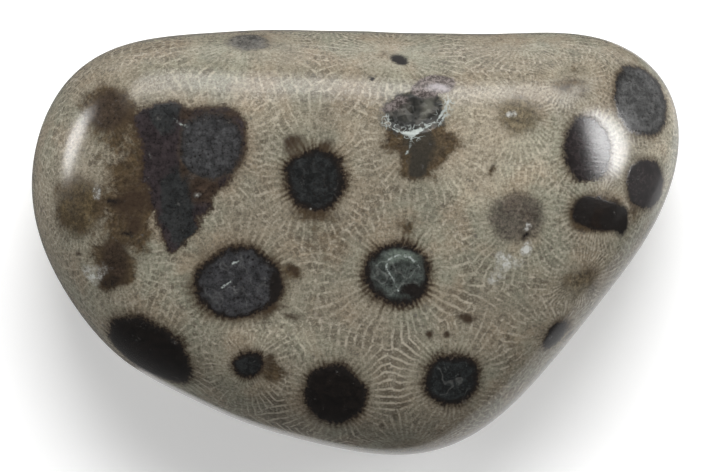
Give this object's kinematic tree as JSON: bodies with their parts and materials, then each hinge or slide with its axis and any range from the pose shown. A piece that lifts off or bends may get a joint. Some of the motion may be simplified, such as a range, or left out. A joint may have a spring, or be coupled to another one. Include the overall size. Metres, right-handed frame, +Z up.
{
  "type": "petoskey stone",
  "caption": "Polished pebble of fossil colony coral with dark corallite eyes and fine radial septa, one piece, lying on its flattest side.",
  "frame": {"origin": "middle of the footprint, on the surface the stone rests on", "axes": "+X along the stone's length towards its blunt end, +Y towards the bevelled long edge, +Z up out of the polished top face"},
  "size_m": [0.07, 0.046, 0.025],
  "materials": {
    "coral_limestone": "polished grey-brown limestone with dark, round coral centres and fine pale radial lines"
  },
  "bodies": {
    "root": {"petoskey_stone": "coral_limestone"}
  },
  "joints": []
}
